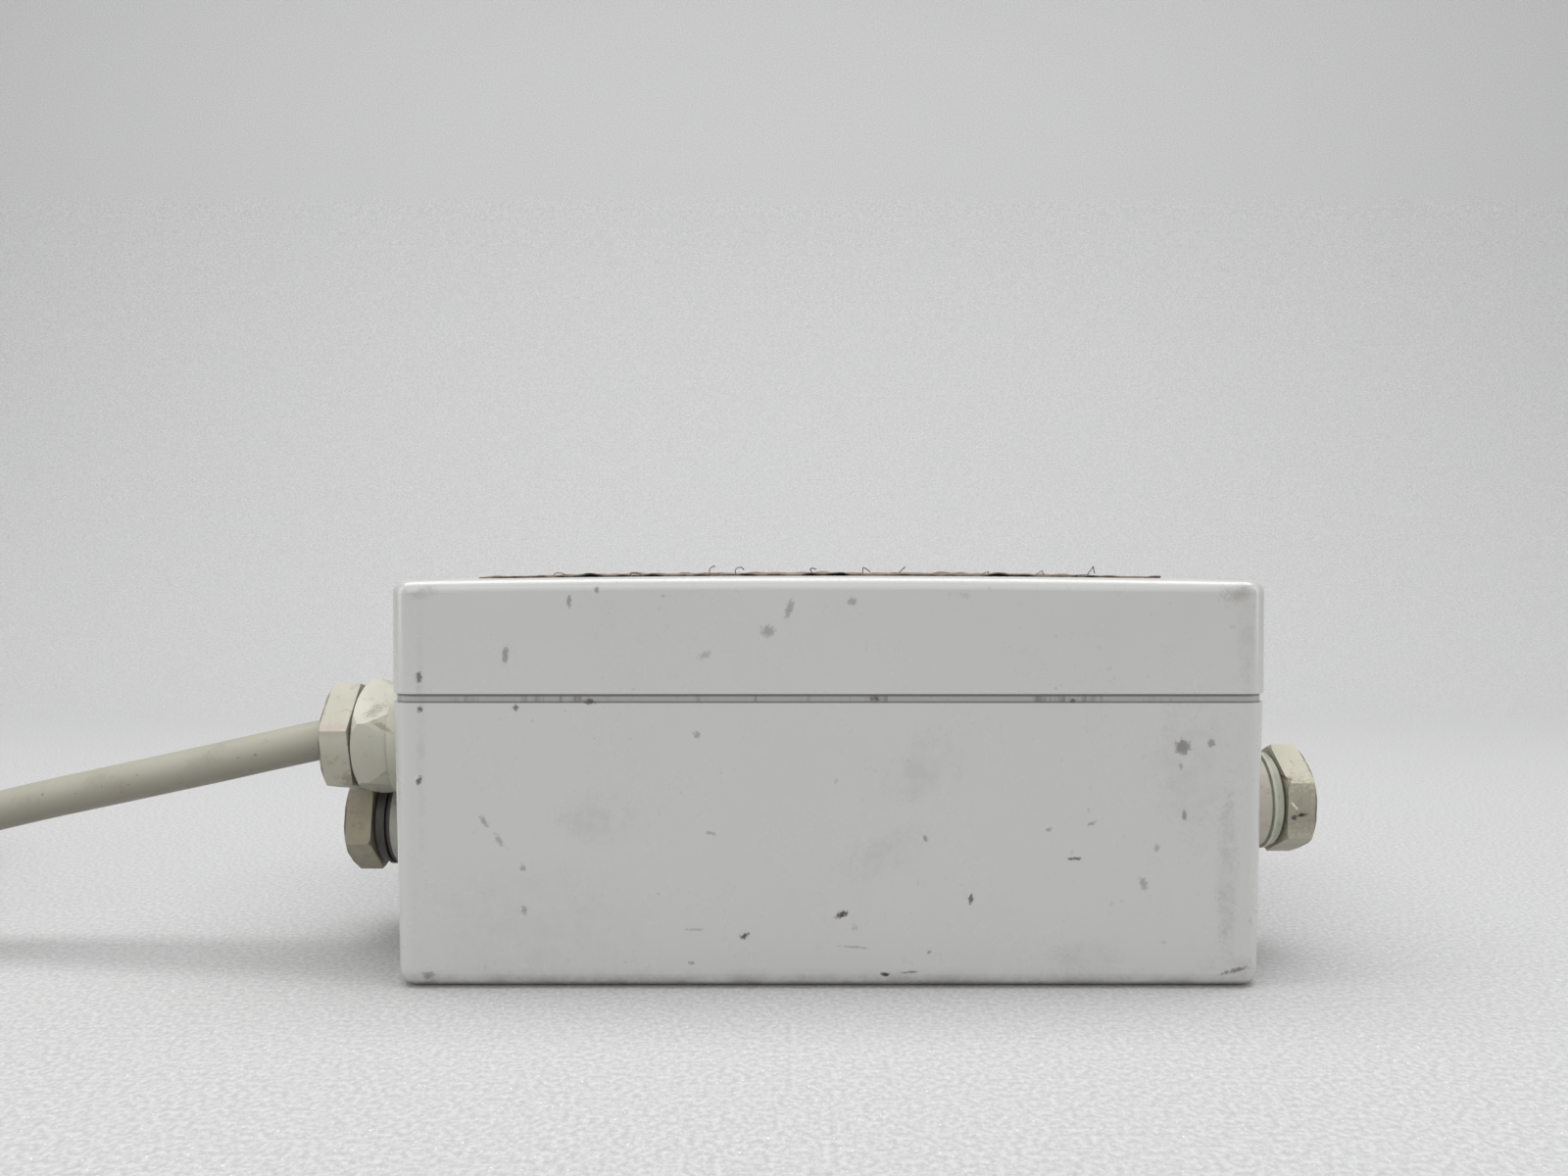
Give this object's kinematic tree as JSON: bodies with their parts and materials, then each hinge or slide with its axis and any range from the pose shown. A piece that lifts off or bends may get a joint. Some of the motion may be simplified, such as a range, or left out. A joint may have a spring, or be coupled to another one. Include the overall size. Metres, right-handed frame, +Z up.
{
  "type": "garage door opener control box",
  "caption": "Wall-mounted control box of a garage door opener: screwed plastic enclosure, cable glands, mains lead and plug, control board inside.",
  "frame": {"origin": "centre of the enclosure's flat underside", "axes": "+Z up through the lid, -Y out of the long front face, +X along the long side towards the single spare gland"},
  "size_m": [0.5748, 0.1413, 0.0954],
  "materials": {
    "case_plastic": "light grey moulded plastic, satin gloss",
    "gasket_foam": "closed-cell foam cord",
    "screw_steel": "zinc-plated steel",
    "label_film": "aged plastic film, torn and soiled",
    "gland_grey": "greenish-grey moulded polyamide",
    "gland_beige": "beige moulded polyamide, soiled",
    "gland_olive": "olive-grey moulded polyamide, soiled",
    "seal_rubber": "black rubber",
    "ring_white": "natural polyamide",
    "board_green": "solder-masked glass-fibre board",
    "standoff_brass": "turned brass",
    "core_laminate": "varnished laminations",
    "moulding_black": "black moulded plastic",
    "winding_tape": "yellow insulating tape over copper wire",
    "capacitor_sleeve": "dark blue shrink sleeve",
    "relay_blue": "blue moulded cover",
    "terminal_orange": "orange moulded plastic",
    "terminal_green": "green moulded plastic",
    "fuse_glass": "clear glass",
    "switch_red": "red moulded plastic",
    "lever_white": "white moulded plastic",
    "housing_grey": "dark grey moulded plastic",
    "cap_green": "green plastic cap",
    "cap_red": "red plastic cap",
    "cap_yellow": "yellow plastic cap",
    "trimmer_blue": "blue moulded plastic",
    "led_red": "red translucent plastic",
    "can_steel": "tinned steel can",
    "cable_grey": "grey vinyl sheath, soiled on its underside",
    "core_brown": "brown vinyl insulation",
    "core_blue": "blue vinyl insulation",
    "core_green": "green and yellow vinyl insulation",
    "plug_grey": "grey moulded vinyl",
    "pin_brass": "nickel-plated brass"
  },
  "bodies": {
    "enclosure": {"enclosure_base": "case_plastic", "cable_gland_body": "gland_grey", "cable_gland_seal": "seal_rubber", "left_gland_body": "gland_olive", "left_gland_seal": "seal_rubber", "right_gland_body": "gland_olive", "right_gland_seal": "seal_rubber", "gland_washers": "seal_rubber", "gland_locknuts": "gland_grey", "circuit_board": "board_green", "board_standoffs": "standoff_brass", "board_screws": "screw_steel", "transformer_core": "core_laminate", "transformer_bobbin": "moulding_black", "transformer_winding": "winding_tape", "filter_capacitors": "capacitor_sleeve", "relays": "relay_blue", "mains_terminals": "terminal_orange", "motor_terminals": "terminal_green", "control_terminals": "terminal_green", "terminal_screws": "screw_steel", "fuse_holder": "moulding_black", "fuse_tube": "fuse_glass", "fuse_caps": "can_steel", "dip_switch_body": "switch_red", "controller_chip": "moulding_black", "button_housings": "housing_grey", "trimmer_housings": "trimmer_blue", "status_leds": "led_red", "radio_board": "board_green", "radio_can": "can_steel", "antenna_wire": "moulding_black", "cable_jacket_end": "cable_grey", "core_brown": "core_brown", "core_blue": "core_blue", "core_earth": "core_green", "power_cable": "cable_grey", "cable_coil": "cable_grey", "plug_body": "plug_grey", "plug_pins": "pin_brass"},
    "lid": {"lid": "case_plastic", "lid_gasket": "gasket_foam", "lid_screws": "screw_steel", "lid_label": "label_film"},
    "cable_nut_carrier": {"cable_gland_ring": "ring_white"},
    "cable_nut": {"cable_gland_nut": "gland_beige"},
    "left_nut_carrier": {"left_gland_ring": "ring_white"},
    "left_nut": {"left_gland_nut": "gland_beige"},
    "right_nut_carrier": {"right_gland_ring": "ring_white"},
    "right_nut": {"right_gland_nut": "gland_beige"},
    "open_button": {"open_button": "cap_green"},
    "stop_button": {"stop_button": "cap_red"},
    "close_button": {"close_button": "cap_yellow"},
    "learn_button": {"learn_button": "moulding_black"},
    "dip_lever_1": {"dip_lever_1": "lever_white"},
    "dip_lever_2": {"dip_lever_2": "lever_white"},
    "dip_lever_3": {"dip_lever_3": "lever_white"},
    "dip_lever_4": {"dip_lever_4": "lever_white"},
    "force_trimmer": {"force_trimmer": "lever_white"},
    "time_trimmer": {"time_trimmer": "lever_white"}
  },
  "joints": [
    {"name": "lid_lift", "type": "slide", "parent": "enclosure", "child": "lid", "axis": [0, 0, 1], "range_m": [0, 0.08]},
    {"name": "cable_nut_travel", "type": "slide", "parent": "enclosure", "child": "cable_nut_carrier", "axis": [-1, 0, 0], "range_m": [0, 0.0031]},
    {"name": "cable_nut_turn", "type": "hinge", "parent": "cable_nut_carrier", "child": "cable_nut", "pos_m": [-0.1022, -0.035, 0.0553], "axis": [-1, 0, 0], "range_deg": [0, 720]},
    {"name": "left_nut_travel", "type": "slide", "parent": "enclosure", "child": "left_nut_carrier", "axis": [-1, 0, 0], "range_m": [0, 0.0031]},
    {"name": "left_nut_turn", "type": "hinge", "parent": "left_nut_carrier", "child": "left_nut", "pos_m": [-0.1022, -0.017, 0.0312], "axis": [-1, 0, 0], "range_deg": [0, 720]},
    {"name": "right_nut_travel", "type": "slide", "parent": "enclosure", "child": "right_nut_carrier", "axis": [1, 0, 0], "range_m": [0, 0.0031]},
    {"name": "right_nut_turn", "type": "hinge", "parent": "right_nut_carrier", "child": "right_nut", "pos_m": [0.1022, -0.033, 0.0393], "axis": [1, 0, 0], "range_deg": [0, 720]},
    {"name": "open_button_press", "type": "slide", "parent": "enclosure", "child": "open_button", "axis": [0, 0, -1], "range_m": [0, 0.0003], "stiffness_N_per_m": 400, "springref_m": -0.0005},
    {"name": "stop_button_press", "type": "slide", "parent": "enclosure", "child": "stop_button", "axis": [0, 0, -1], "range_m": [0, 0.0003], "stiffness_N_per_m": 400, "springref_m": -0.0005},
    {"name": "close_button_press", "type": "slide", "parent": "enclosure", "child": "close_button", "axis": [0, 0, -1], "range_m": [0, 0.0003], "stiffness_N_per_m": 400, "springref_m": -0.0005},
    {"name": "learn_button_press", "type": "slide", "parent": "enclosure", "child": "learn_button", "axis": [0, 0, -1], "range_m": [0, 0.0003], "stiffness_N_per_m": 400, "springref_m": -0.0005},
    {"name": "dip_lever_1_slide", "type": "slide", "parent": "enclosure", "child": "dip_lever_1", "axis": [0, 1, 0], "range_m": [0, 0.0018]},
    {"name": "dip_lever_2_slide", "type": "slide", "parent": "enclosure", "child": "dip_lever_2", "axis": [0, 1, 0], "range_m": [0, 0.0018]},
    {"name": "dip_lever_3_slide", "type": "slide", "parent": "enclosure", "child": "dip_lever_3", "axis": [0, 1, 0], "range_m": [0, 0.0018]},
    {"name": "dip_lever_4_slide", "type": "slide", "parent": "enclosure", "child": "dip_lever_4", "axis": [0, 1, 0], "range_m": [0, 0.0018]},
    {"name": "force_trimmer_turn", "type": "hinge", "parent": "enclosure", "child": "force_trimmer", "pos_m": [0.042, -0.016, 0.0181], "axis": [0, 0, 1], "range_deg": [-135, 135]},
    {"name": "time_trimmer_turn", "type": "hinge", "parent": "enclosure", "child": "time_trimmer", "pos_m": [0.042, -0.027, 0.0181], "axis": [0, 0, 1], "range_deg": [-135, 135]}
  ],
  "couplings": [
    {"joint": "cable_nut_travel", "follows": "cable_nut_turn", "m_per_rad": 0.00023873},
    {"joint": "left_nut_travel", "follows": "left_nut_turn", "m_per_rad": 0.00023873},
    {"joint": "right_nut_travel", "follows": "right_nut_turn", "m_per_rad": 0.00023873}
  ]
}
